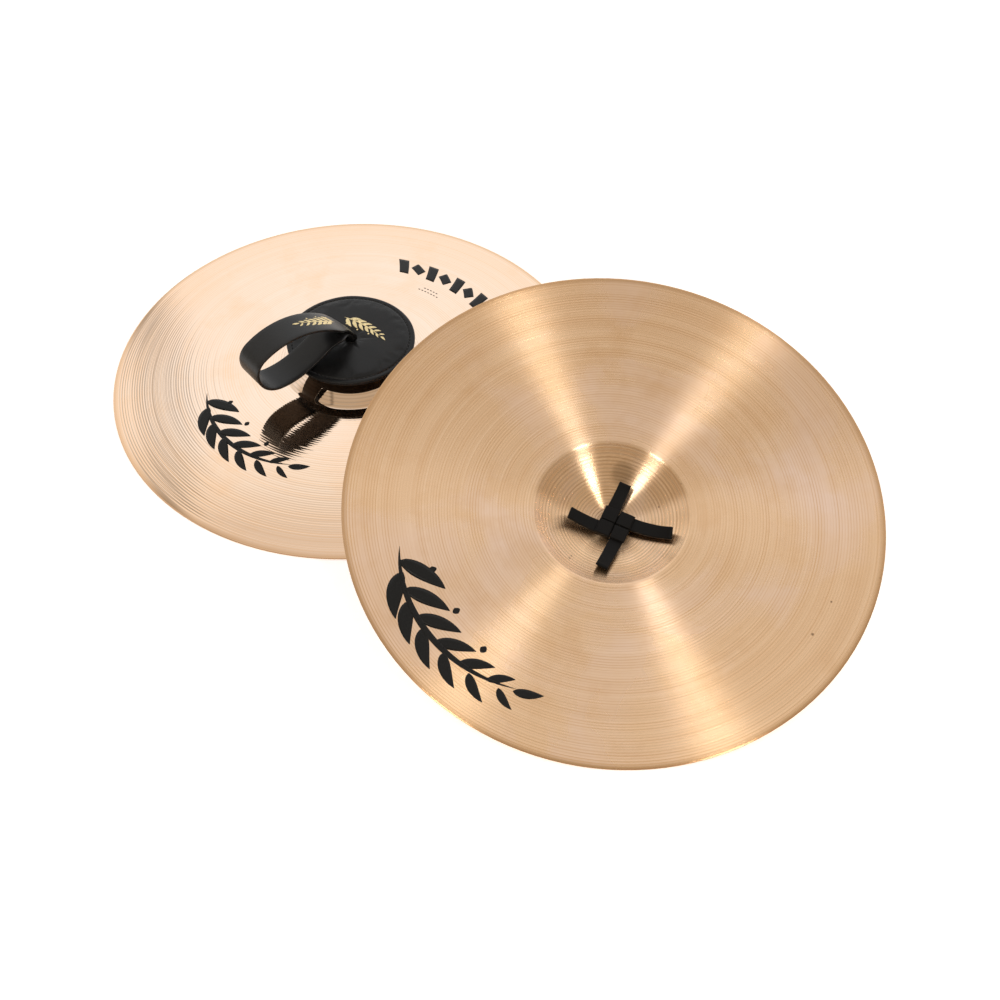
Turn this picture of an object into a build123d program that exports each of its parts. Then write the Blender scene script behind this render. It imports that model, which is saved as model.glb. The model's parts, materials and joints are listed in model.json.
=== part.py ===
from build123d import *

import os
from math import ceil, cos, hypot, pi, radians, sin, sqrt

# A pair of hand cymbals with leather pads and hand straps.
#
# Each cymbal is first built on its own axis: +Z points out of the top of the bell, and
# z = 0 is the plane of the rim's underside. The rear cymbal lies on its rim, bell up.
# The front cymbal is turned over and leans: one point of its rim, its pad and its
# folded strap touch the floor. The origin is on the floor, midway between the ends of
# the pair. All sizes are in millimetres.

# ---- plates ---------------------------------------------------------------------
RIM_RADIUS = 228.6  # an 18 inch plate
RIM_LAND = 1.8  # width of the flat ring that the plate rests on
RIM_THICKNESS = 0.9
BOW_THICKNESS = 1.3  # where the bow meets the bell
BOW_RISE = 18.0  # rim to the root of the bell, on the inside
BOW_SAG = 2.2  # how far the bow bulges above a straight cone
BELL_RADIUS = 67.0
BELL_ROOT_FILLET = 9.0
BELL_APEX = 42.6  # rim plane to the top of the bell, outside
BELL_THICKNESS = 1.4
BELL_HOLE_RADIUS = 6.0
SAME_PLACE = 0.001  # two points nearer than this are one corner

# ---- how the pair lies ------------------------------------------------------------
TILT = 14.0  # lean of the front plate, in degrees
SPREAD_X = 114.0  # each cymbal's axis from the middle of the pair
REAR_Y = 105.0

# ---- pads -------------------------------------------------------------------------
PAD_RADIUS = 60.5
PAD_HOLE_RADIUS = 6.5
PAD_LIFT = 0.3  # gap between the bell and the pad
PAD_LEATHER = 1.2
PAD_CORE = 2.6
CORE_SHOULDER = 50.0  # radius where the core starts to thin out
CORE_RADIUS = 54.2
SEAM_RADIUS = 57.2
STITCH_PITCH = 5.6
STITCH_SHARE = 0.7  # part of the pitch that one stitch covers
THREAD_RADIUS = 0.4
GROOVE_WIDTH = 1.0
GROOVE_DEPTH = 0.45
GROOVE_CLEARANCE = 0.02
GROOVE_REACH = 1.0  # how far the cutter stands clear of the leather
REAR_PAD_DROP = 0.3  # how far the pad's edge hangs below its middle
FRONT_PAD_DROP = 4.6

# ---- straps -----------------------------------------------------------------------
STRAP_THICKNESS = 2.5
STRAP_WIDTH = 29.0
NECK_WIDTH = 9.5
HINGE_HEIGHT = 3.2  # the strap's bend above the middle of the pad
HINGE_GAP = 0.5
PLY_OFFSET = 1.5  # middle of each of the two plies from the middle of the neck
NECK_END, SHOULDER_START = 2.0, 20.0  # the strap widens between these reaches
PLAN_START, PLAN_END = -6.0, 130.0  # reaches past both ends of the loop
PLAN_DEPTH = 400.0  # half the height of the block that the plan is cut from

# ---- knots ------------------------------------------------------------------------
ROOT_SIZE = 17.0  # square root of the four tails, wider than the bell's hole
ROOT_TOP_GAP = 1.1  # under the top of the bell's inside
ROOT_HEIGHT = 4.9
TAIL_THICKNESS = 2.9
FOLD_THICKNESS = 3.0
FOLD_SIZE = 13.6
FOLD_GAP = 0.3  # from a fold to the knot's middle lines
TAIL_ROOT_WIDTH, TAIL_TIP_WIDTH = 11.4, 10.4
TAIL_BEND_START = 9.0  # reach where a tail turns down
TAIL_LENGTHS = (50.0, 38.0, 40.0, 47.0)
TAIL_SLOPES = (19.0, 17.0, 15.0, 18.0)
TAIL_TURNS = (0.0, -3.0, 3.0, -3.0)  # degrees off an even cross

# ---- directions, in degrees about each cymbal's own axis ---------------------------
REAR_STRAP_ANGLE = 218.4
FRONT_STRAP_ANGLE = -72.0
REAR_KNOT_ANGLE = 33.0
FRONT_KNOT_ANGLE = 26.6

# ---- how far each knot has slid off its cymbal's axis ----------------------------------
REAR_KNOT_SHIFT = (0.0, 0.0)
FRONT_KNOT_SHIFT = (3.5, 6.0)

PAD_BOTTOM = BELL_APEX + PAD_LIFT
PAD_TOP = PAD_BOTTOM + 2 * PAD_LEATHER + PAD_CORE
HINGE_Z = PAD_TOP + HINGE_HEIGHT
BELL_INSIDE = BELL_APEX - BELL_THICKNESS
ROOT_TOP = BELL_INSIDE - ROOT_TOP_GAP


def direction(angle):
    """A unit vector in the XY plane."""
    return Vector(cos(radians(angle)), sin(radians(angle)), 0)


def turned(profile):
    """The solid of revolution of a closed (radius, height) outline."""
    return revolve(Plane.XZ * make_face(profile), Axis.Z)


def arc_on(curve, start, end):
    """An arc through three points of a curve height(radius)."""
    middle = (start + end) / 2
    return ThreePointArc(*[(r, curve(r)) for r in (start, middle, end)])


# ---- plate ------------------------------------------------------------------------
def cap(apex, root_radius, root_height):
    """Height over radius of a spherical cap with its top at apex."""
    rise = apex - root_height
    ball = (root_radius**2 + rise**2) / (2 * rise)
    return lambda r: apex - ball + sqrt(ball**2 - r**2)


def bow_arc(rim, root):
    """The bow's arc from the rim up to the bell, bulging above the straight line."""
    (x0, z0), (x1, z1) = rim, root
    run = hypot(x1 - x0, z1 - z0)
    across = ((z1 - z0) / run, (x0 - x1) / run)
    middle = ((x0 + x1) / 2 + BOW_SAG * across[0], (z0 + z1) / 2 + BOW_SAG * across[1])
    return ThreePointArc(rim, middle, root)


def plate():
    """The lathed bronze plate: flat land, rim, bow and bell."""
    root_in = (BELL_RADIUS, BOW_RISE)
    root_out = (BELL_RADIUS, BOW_RISE + BOW_THICKNESS)
    land, rim = (RIM_RADIUS - RIM_LAND, 0), (RIM_RADIUS, 0)
    edge = (RIM_RADIUS, RIM_THICKNESS)
    inside, outside = cap(BELL_INSIDE, *root_in), cap(BELL_APEX, *root_out)
    hole_low = (BELL_HOLE_RADIUS, inside(BELL_HOLE_RADIUS))
    hole_high = (BELL_HOLE_RADIUS, outside(BELL_HOLE_RADIUS))
    outline = [
        Line(land, rim),
        Line(rim, edge),
        bow_arc(edge, root_out),
        arc_on(outside, BELL_RADIUS, BELL_HOLE_RADIUS),
        Line(hole_high, hole_low),
        arc_on(inside, BELL_HOLE_RADIUS, BELL_RADIUS),
        bow_arc(land, root_in),
    ]
    section = make_face(outline)
    roots = section.vertices().filter_by(lambda v: abs(v.X - BELL_RADIUS) < SAME_PLACE)
    return revolve(Plane.XZ * fillet(roots, BELL_ROOT_FILLET), Axis.Z)


# ---- pad --------------------------------------------------------------------------
def pad_curve(level, drop):
    """Height over radius of a pad surface whose middle is at level."""
    return cap(level, PAD_RADIUS, level - drop)


def sheet_outline(lower, upper, radius):
    """The outline between two pad curves, from the hole out to a radius."""
    inner = PAD_HOLE_RADIUS
    return [
        arc_on(lower, inner, radius),
        Line((radius, lower(radius)), (radius, upper(radius))),
        arc_on(upper, radius, inner),
        Line((inner, upper(inner)), (inner, lower(inner))),
    ]


def pad_bottom_leather(drop):
    """The disc of leather that lies on the bell, with its stitching groove."""
    lower = pad_curve(PAD_BOTTOM, drop)
    upper = pad_curve(PAD_BOTTOM + PAD_LEATHER, drop)
    return turned(sheet_outline(lower, upper, PAD_RADIUS)) - seam_groove(lower, -1)


def pad_core(drop):
    """The felt disc between the leathers, thinned to nothing at its edge."""
    lower = pad_curve(PAD_BOTTOM + PAD_LEATHER, drop)
    upper = pad_curve(PAD_BOTTOM + PAD_LEATHER + PAD_CORE, drop)
    inner, shoulder = PAD_HOLE_RADIUS, CORE_SHOULDER
    tip = (CORE_RADIUS, lower(CORE_RADIUS))
    return turned(
        [
            arc_on(lower, inner, CORE_RADIUS),
            Line(tip, (shoulder, upper(shoulder))),
            arc_on(upper, shoulder, inner),
            Line((inner, upper(inner)), (inner, lower(inner))),
        ]
    )


def pad_top_leather(drop):
    """The leather over the core, which meets the lower disc in a stitched border."""
    border = pad_curve(PAD_BOTTOM + PAD_LEATHER, drop)
    border_top = pad_curve(PAD_BOTTOM + 2 * PAD_LEATHER, drop)
    under = pad_curve(PAD_BOTTOM + PAD_LEATHER + PAD_CORE, drop)
    over = pad_curve(PAD_TOP, drop)
    inner, shoulder, tip, edge = PAD_HOLE_RADIUS, CORE_SHOULDER, CORE_RADIUS, PAD_RADIUS
    body = turned(
        [
            arc_on(under, inner, shoulder),
            Line((shoulder, under(shoulder)), (tip, border(tip))),
            arc_on(border, tip, edge),
            Line((edge, border(edge)), (edge, border_top(edge))),
            arc_on(border_top, edge, tip),
            Line((tip, border_top(tip)), (shoulder, over(shoulder))),
            arc_on(over, shoulder, inner),
            Line((inner, over(inner)), (inner, under(inner))),
        ]
    )
    return body - seam_groove(border_top, 1)


def seam_groove(surface, side):
    """The ring cut into a pad surface for the thread; side is +1 on top, -1 below."""
    low, high = sorted((-side * GROOVE_DEPTH, side * GROOVE_REACH))
    section = Pos(SEAM_RADIUS, surface(SEAM_RADIUS) + (low + high) / 2) * Rectangle(
        GROOVE_WIDTH, high - low
    )
    return revolve(Plane.XZ * section, Axis.Z)


def pad_stitching(drop):
    """The stitches of both faces, each a short bent length of thread in its groove."""
    count = ceil(2 * pi * SEAM_RADIUS / STITCH_PITCH)
    step = 360 / count
    sink = GROOVE_DEPTH - THREAD_RADIUS - GROOVE_CLEARANCE
    stitches = []
    for level, side in ((PAD_BOTTOM, -1), (PAD_BOTTOM + 2 * PAD_LEATHER, 1)):
        height = pad_curve(level, drop)(SEAM_RADIUS) - side * sink
        section = Plane.XZ * Pos(SEAM_RADIUS, height) * Circle(THREAD_RADIUS)
        stitch = revolve(section, Axis.Z, STITCH_SHARE * step)
        stitches += [Rot(Z=step * i) * stitch for i in range(count)]
    return Compound(children=stitches)


# ---- strap ------------------------------------------------------------------------
def band_face(points, start_angle):
    """A strap seen edge-on: tangent arcs through the points, with the strap's thickness."""
    tangent, half = direction(start_angle), STRAP_THICKNESS / 2
    across = tangent.rotate(Axis.Z, 90) * half
    first = Vector(*points[0])
    edges = [Line(first + across, first - across)]
    for here, there in zip(points, points[1:]):
        here, there = Vector(*here), Vector(*there)
        chord = (there - here).normalized()
        leaving = chord * (2 * tangent.dot(chord)) - tangent
        next_across = leaving.rotate(Axis.Z, 90) * half
        for side in (1, -1):
            start, end = here + across * side, there + next_across * side
            edges.append(TangentArc(start, end, tangent=tangent))
        tangent, across = leaving, next_across
    last = Vector(*points[-1])
    edges.append(Line(last + across, last - across))
    return make_face(edges)


def strap_plan():
    """The strap from above: as wide as the neck at first, then widening to a hand's grip."""
    near, far = PLAN_START, PLAN_END
    neck, grip = NECK_WIDTH / 2, STRAP_WIDTH / 2
    middle = ((NECK_END + SHOULDER_START) / 2, (neck + grip) / 2)
    edges = [Line((near, -neck), (near, neck)), Line((far, -grip), (far, grip))]
    for side in (1, -1):
        bend = (middle[0], side * middle[1])
        first = TangentArc((NECK_END, side * neck), bend, tangent=(1, 0))
        edges += [
            Line((near, side * neck), (NECK_END, side * neck)),
            first,
            TangentArc(bend, (SHOULDER_START, side * grip), tangent=first % 1),
            Line((SHOULDER_START, side * grip), (far, side * grip)),
        ]
    return make_face(edges)


def strap_loop(angle, base_angle, points):
    """The hand loop. Points are (reach, height above the bend), at the middle of the strap.

    The loop leaves the bend at base_angle as two plies, back to back.
    """
    lead = direction(base_angle)
    across = lead.rotate(Axis.Z, 90) * PLY_OFFSET
    foot = lead * (STRAP_THICKNESS + HINGE_GAP)
    path = [foot + across, *[Vector(*p) for p in points], foot - across]
    side_view = Plane((0, 0, HINGE_Z), direction(angle), direction(angle - 90))
    band = extrude(side_view * band_face(path, base_angle), STRAP_WIDTH, both=True)
    plan = Rot(Z=angle) * extrude(strap_plan(), PLAN_DEPTH, both=True)
    return band & plan


def strap_neck(angle):
    """The strap's two narrow ends, back to back through the pad and the bell's hole.

    Under the bell each end spreads into half of the root that the knot is tied from.
    """
    half_neck = extrude(
        Rectangle(STRAP_THICKNESS, NECK_WIDTH, align=(Align.MIN, Align.CENTER)),
        HINGE_Z - ROOT_TOP,
    )
    bend = extrude(Plane.XZ * Circle(STRAP_THICKNESS), NECK_WIDTH / 2, both=True)
    quarter = Box(
        STRAP_THICKNESS,
        NECK_WIDTH,
        STRAP_THICKNESS,
        align=(Align.MIN, Align.CENTER, Align.MIN),
    )
    root = Box(
        ROOT_SIZE / 2,
        ROOT_SIZE,
        ROOT_HEIGHT,
        align=(Align.MIN, Align.CENTER, Align.MAX),
    )
    ply = Pos(Z=ROOT_TOP) * (half_neck + root) + Pos(Z=HINGE_Z) * (bend & quarter)
    return Compound(children=[Rot(Z=angle) * ply, Rot(Z=angle + 180) * ply])


# ---- knot -------------------------------------------------------------------------
def knot_tail(number, knot_angle, turn, shift):
    """One of the four tails: a folded square of the knot and the free end under it.

    The tail runs along +X beside its neighbours, like a vane of a pinwheel; turn is +1
    or -1 for the side of its direction that it lies on.
    """
    length, slope = TAIL_LENGTHS[number], radians(TAIL_SLOPES[number])
    top = ROOT_TOP - ROOT_HEIGHT
    low = top - TAIL_THICKNESS
    reach = length - TAIL_BEND_START
    drop = reach * sin(slope)
    tip_top = (TAIL_BEND_START + reach * cos(slope), top - drop)
    tip_low = (tip_top[0] - TAIL_THICKNESS * sin(2 * slope), tip_top[1] - TAIL_THICKNESS)
    side_view = make_face(
        [
            Line((FOLD_GAP, low), (FOLD_GAP, top)),
            Line((FOLD_GAP, top), (TAIL_BEND_START, top)),
            TangentArc((TAIL_BEND_START, top), tip_top, tangent=(1, 0)),
            Line(tip_top, tip_low),
            TangentArc((TAIL_BEND_START, low), tip_low, tangent=(1, 0)),
            Line((TAIL_BEND_START, low), (FOLD_GAP, low)),
        ]
    )
    centre = (FOLD_GAP + FOLD_SIZE) / 2
    root_half, tip_half = TAIL_ROOT_WIDTH / 2, TAIL_TIP_WIDTH / 2
    plan = make_face(
        Polyline(
            (0, centre - root_half),
            (FOLD_SIZE, centre - root_half),
            (length, centre - tip_half),
            (length, centre + tip_half),
            (FOLD_SIZE, centre + root_half),
            (0, centre + root_half),
            close=True,
        )
    )
    strip = extrude(Plane.XZ * side_view, 2 * FOLD_SIZE, both=True)
    strip &= extrude(plan, 2 * BELL_APEX, both=True)
    fold = Box(
        FOLD_SIZE - FOLD_GAP,
        FOLD_SIZE - FOLD_GAP,
        FOLD_THICKNESS,
        align=(Align.MIN, Align.MIN, Align.MAX),
    )
    about_fold = Pos(centre, centre) * Rot(Z=TAIL_TURNS[number]) * Pos(-centre, -centre)
    tail = about_fold * strip + Pos(FOLD_GAP, FOLD_GAP, low) * fold
    if turn < 0:
        tail = mirror(tail, Plane.XZ)
    return Pos(*shift) * Rot(Z=knot_angle + turn * 90 * number) * tail


# ---- the loops as they lie ----------------------------------------------------------
# Reach from the cymbal's axis and height above the bend, round each loop from the bend.
REAR_LOOP_BASE = 57.0
REAR_LOOP = (
    (40.0, 37.4),
    (76.0, 43.9),
    (101.0, 37.0),
    (110.0, 23.0),
    (87.0, -3.6),
    (62.0, -1.6),
    (34.0, 9.5),
    (12.0, 9.6),
)
FRONT_LOOP_BASE = 6.0
FRONT_LOOP = (
    (22.0, 5.6),
    (60.0, 17.4),
    (96.0, 25.6),
    (117.0, 9.6),
    (98.0, -8.2),
    (60.0, -3.9),
    (20.0, -0.7),
)

FRONT_Y = RIM_RADIUS * cos(radians(TILT)) - RIM_RADIUS - REAR_Y
FRONT_Z = RIM_RADIUS * sin(radians(TILT)) + RIM_THICKNESS * cos(radians(TILT))
REAR_PLACE = Pos(-SPREAD_X, REAR_Y, 0)
FRONT_PLACE = Pos(SPREAD_X, FRONT_Y, FRONT_Z) * Rot(X=180 + TILT)


def cymbal(prefix, place, drop, strap_angle, loop_base, loop, knot):
    """Every piece of one cymbal, by node name, in its place."""
    pieces = {
        "cymbal_plate": plate(),
        "pad_bottom_leather": pad_bottom_leather(drop),
        "pad_core": pad_core(drop),
        "pad_top_leather": pad_top_leather(drop),
        "pad_stitching": pad_stitching(drop),
        "strap_loop": strap_loop(strap_angle, loop_base, loop),
        "strap_neck": strap_neck(strap_angle),
    }
    for number in range(len(TAIL_LENGTHS)):
        pieces[f"knot_tail_{number + 1}"] = knot_tail(number, *knot)
    return {f"{prefix}_{name}": place * shape for name, shape in pieces.items()}


nodes = {
    **cymbal(
        "rear",
        REAR_PLACE,
        REAR_PAD_DROP,
        REAR_STRAP_ANGLE,
        REAR_LOOP_BASE,
        REAR_LOOP,
        (REAR_KNOT_ANGLE, 1, REAR_KNOT_SHIFT),
    ),
    **cymbal(
        "front",
        FRONT_PLACE,
        FRONT_PAD_DROP,
        FRONT_STRAP_ANGLE,
        FRONT_LOOP_BASE,
        FRONT_LOOP,
        (FRONT_KNOT_ANGLE, -1, FRONT_KNOT_SHIFT),
    ),
}

os.makedirs("parts", exist_ok=True)
for node, shape in nodes.items():
    export_step(shape, f"parts/{node}.step")
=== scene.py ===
import json
import math

import bmesh
import bpy
import numpy as np
from mathutils import Matrix, Vector

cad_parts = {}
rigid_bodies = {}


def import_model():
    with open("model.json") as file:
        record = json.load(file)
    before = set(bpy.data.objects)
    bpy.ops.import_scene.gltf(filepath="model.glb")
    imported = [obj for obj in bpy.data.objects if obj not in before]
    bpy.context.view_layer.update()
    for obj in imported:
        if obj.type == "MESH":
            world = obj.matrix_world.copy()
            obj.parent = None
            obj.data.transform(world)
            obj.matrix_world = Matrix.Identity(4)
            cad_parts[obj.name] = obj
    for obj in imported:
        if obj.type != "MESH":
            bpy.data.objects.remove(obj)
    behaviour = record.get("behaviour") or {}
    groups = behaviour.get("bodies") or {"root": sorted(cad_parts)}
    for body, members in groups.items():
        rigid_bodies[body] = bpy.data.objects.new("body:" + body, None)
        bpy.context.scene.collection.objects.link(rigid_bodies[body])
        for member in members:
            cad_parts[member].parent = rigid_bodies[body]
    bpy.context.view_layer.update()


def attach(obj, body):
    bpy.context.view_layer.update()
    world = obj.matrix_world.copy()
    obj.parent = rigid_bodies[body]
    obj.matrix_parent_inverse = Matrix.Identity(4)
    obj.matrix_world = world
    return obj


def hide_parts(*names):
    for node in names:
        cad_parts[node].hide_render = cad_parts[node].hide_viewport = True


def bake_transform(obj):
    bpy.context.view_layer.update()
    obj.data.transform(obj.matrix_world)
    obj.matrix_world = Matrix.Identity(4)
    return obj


# A pair of hand cymbals: two lathed bronze plates with leather pads, hand straps and knots.
#
# Shapes are worked out in millimetres in each cymbal's own frame, whose +Z points out of the
# top of its bell, and placed with REAR or FRONT. Everything in bpy is in metres.

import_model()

MM = 0.001

# ---- how the pair lies -------------------------
RIM = 228.6
RIM_THICKNESS = 0.9
TILT = math.radians(14.0)
SPREAD = 114.0
REAR_Y = 105.0
FRONT_Y = RIM * math.cos(TILT) - RIM - REAR_Y
FRONT_Z = RIM * math.sin(TILT) + RIM_THICKNESS * math.cos(TILT)
REAR = Matrix.Translation(Vector((-SPREAD, REAR_Y, 0)) * MM)
FRONT = Matrix.Translation(Vector((SPREAD, FRONT_Y, FRONT_Z)) * MM) @ Matrix.Rotation(
    math.pi + TILT, 4, "X"
)


UP = np.array([0, 0, 1.0])


def unit(angle):
    """Unit vector in the XY plane, from degrees."""
    return np.array([math.cos(math.radians(angle)), math.sin(math.radians(angle)), 0.0])


def heading(angle):
    """Unit vector in a strap's or an ornament's own plane, from radians."""
    return np.array([math.cos(angle), math.sin(angle)])


# ---- camera and lamps --------------------------
CAMERA_PLACE = Vector((-0.0275, -0.8310, 0.9133))
CAMERA_AIM = Vector((0.0211, -0.0598, 0.0))
CAMERA_ROLL = math.radians(1.67)
CAMERA_LENS, SENSOR_WIDTH = 48.13, 36.0
CAMERA_CLIP = (0.01, 50.0)
LAMP_AIM = Vector((0.05, -0.05, 0.02))
LAMP_DISTANCE = 1.8
LAMP_COLOUR = (1.0, 0.98, 0.93)


def add_object(name, data):
    made = bpy.data.objects.new(name, data)
    bpy.context.scene.collection.objects.link(made)
    return made


def add_camera():
    camera = add_object("camera", bpy.data.cameras.new("camera"))
    camera.data.lens = CAMERA_LENS
    camera.data.sensor_width = SENSOR_WIDTH
    camera.data.clip_start, camera.data.clip_end = CAMERA_CLIP
    turn = (CAMERA_AIM - CAMERA_PLACE).to_track_quat("-Z", "Y").to_matrix().to_4x4()
    roll = Matrix.Rotation(CAMERA_ROLL, 4, "Z")
    camera.matrix_world = Matrix.Translation(CAMERA_PLACE) @ turn @ roll
    bpy.context.scene.camera = camera


def add_softbox(name, direction, size, power):
    """A square lamp that faces the middle of the pair."""
    data = bpy.data.lights.new(name, "AREA")
    data.shape = "RECTANGLE"
    data.size = data.size_y = size
    data.energy = power
    data.color = LAMP_COLOUR
    lamp = add_object(name, data)
    towards = Vector(direction).normalized()
    lamp.location = LAMP_AIM + towards * LAMP_DISTANCE
    lamp.rotation_mode = "QUATERNION"
    lamp.rotation_quaternion = (-towards).to_track_quat("-Z", "Y")
    return lamp


# ---- shader building ---------------------------
class Nodes:
    """A node tree and short ways to add to it. A value may also be another node's output."""

    def __init__(self, tree):
        self.tree = tree
        self.tree.nodes.clear()

    def node(self, kind, values=None, **settings):
        made = self.tree.nodes.new(kind)
        for key, value in settings.items():
            setattr(made, key, value)
        for key, value in (values or {}).items():
            self.feed(made.inputs[key], value)
        return made

    def link(self, a, b):
        self.tree.links.new(a, b)

    def feed(self, socket, value):
        if isinstance(value, bpy.types.NodeSocket):
            self.link(value, socket)
        else:
            socket.default_value = value

    def math(self, operation, a, b=0.0, c=0.0):
        values = {0: a, 1: b, 2: c}
        return self.node("ShaderNodeMath", values, operation=operation).outputs[0]

    def spread(self, value, low, high, to_low=0.0, to_high=1.0, smooth=False):
        values = {
            "Value": value, "From Min": low, "From Max": high, "To Min": to_low, "To Max": to_high
        }
        kind = "SMOOTHSTEP" if smooth else "LINEAR"
        return self.node("ShaderNodeMapRange", values, interpolation_type=kind).outputs[0]


class Shader(Nodes):
    """A material; a lathed one is textured in its cymbal's own frame, whatever way it lies."""

    def __init__(self, name, lathed=False):
        self.material = bpy.data.materials.new(name)
        self.material.use_nodes = True
        super().__init__(self.material.node_tree)
        out = self.node("ShaderNodeOutputMaterial")
        self.bsdf = self.node("ShaderNodeBsdfPrincipled")
        self.link(self.bsdf.outputs[0], out.inputs[0])
        if lathed:
            place = self.node("ShaderNodeAttribute", attribute_name="lathe")
            self.coords = place.outputs["Vector"]
        else:
            self.coords = self.node("ShaderNodeTexCoord").outputs["Object"]

    def vector(self, operation, a, b=(0, 0, 0), scale=1.0, output=0):
        values = {0: a, 1: b, 3: scale}
        return self.node("ShaderNodeVectorMath", values, operation=operation).outputs[output]

    def noise(self, scale, detail, rough, vector=None, distortion=0.0):
        values = {"Scale": scale, "Detail": detail, "Roughness": rough, "Distortion": distortion}
        values["Vector"] = self.coords if vector is None else vector
        return self.node("ShaderNodeTexNoise", values).outputs["Fac"]

    def voronoi(self, scale, feature="F1"):
        values = {"Vector": self.coords, "Scale": scale}
        return self.node("ShaderNodeTexVoronoi", values, feature=feature).outputs

    def mix(self, factor, a, b):
        a, b = ((*value, 1) if isinstance(value, tuple) else value for value in (a, b))
        return self.node("ShaderNodeMix", {0: factor, 6: a, 7: b}, data_type="RGBA").outputs[2]

    def bump(self, height, strength, distance, normal=None):
        values = {"Height": height, "Strength": strength, "Distance": distance}
        if normal is not None:
            values["Normal"] = normal
        return self.node("ShaderNodeBump", values).outputs[0]

    def set(self, **values):
        for key, value in values.items():
            self.feed(self.bsdf.inputs[key.replace("_", " ")], value)


def flat(s):
    """The place across the cymbal's axis."""
    return s.vector("MULTIPLY", s.coords, (1, 1, 0))


def rings(s, radius, lines, wander=0.05):
    """Irregular lathe lines: noise that is fine along the radius and long round it."""
    around = s.vector("SCALE", s.vector("NORMALIZE", flat(s)), scale=wander)
    across = s.node("ShaderNodeCombineXYZ", {"Z": s.math("MULTIPLY", radius, lines)})
    return s.vector("ADD", around, across.outputs[0])


def waves(s, radius, per_metre, power):
    """Even rings from 0 to 1, narrower as power goes up."""
    phase = s.math("MULTIPLY", radius, 2 * math.pi * per_metre)
    even = s.math("MULTIPLY_ADD", s.math("COSINE", phase), -0.5, 0.5)
    return s.math("POWER", even, power)


def times(colour, share):
    return tuple(share * c for c in colour)


# Where a plate's shade changes, as radii in metres.
OUTER_ZONE = (0.14, 0.226)
RIM_ZONE = (0.2225, 0.2275)
BELL_EDGE = (0.066, 0.068)
BELL_TURNS = 1000 / 2.9  # turning marks per metre inside the bell
SPECK_CELLS, SPECK_SIZE, SPECK_LEFT_OUT = 46.0, (0.025, 0.055), 0.80
SPECK_COLOUR, WORN_COLOUR = (0.10, 0.045, 0.02), (0.16, 0.09, 0.045)

# Worn spots of a satin face: place and reach in millimetres, strength.
WORN_SPOTS = (
    (36.0, 7.0, 4.0, 0.35),
    (34.0, 10.5, 3.5, 0.35),
    (13.6, -42.9, 13.0, 0.5),
    (153.0, 120.0, 1.6, 0.9),
    (-38.0, 39.0, 1.4, 0.7),
    (-36.0, 36.0, 1.1, 0.6),
)


def wear(s, colour, medium):
    """Dark specks and worn spots over a colour."""
    cells = s.voronoi(SPECK_CELLS)
    dot = s.spread(cells["Distance"], *SPECK_SIZE, 1.0, 0.0)
    chosen = s.node("ShaderNodeSeparateColor", {0: cells["Color"]})
    dot = s.math("MULTIPLY", dot, s.math("GREATER_THAN", chosen.outputs[0], SPECK_LEFT_OUT))
    colour = s.mix(s.math("MULTIPLY", dot, 0.75), colour, SPECK_COLOUR)
    place = flat(s)
    for x, y, reach, strength in WORN_SPOTS:
        near = s.vector("DISTANCE", place, (x * MM, y * MM, 0), output="Value")
        spot = s.spread(near, reach * MM * 0.4, reach * MM, strength, 0.0, smooth=True)
        broken = s.spread(medium, 0.3, 0.6, 0.5, 1.0)
        colour = s.mix(s.math("MULTIPLY", spot, broken), colour, WORN_COLOUR)
    return colour


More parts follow.
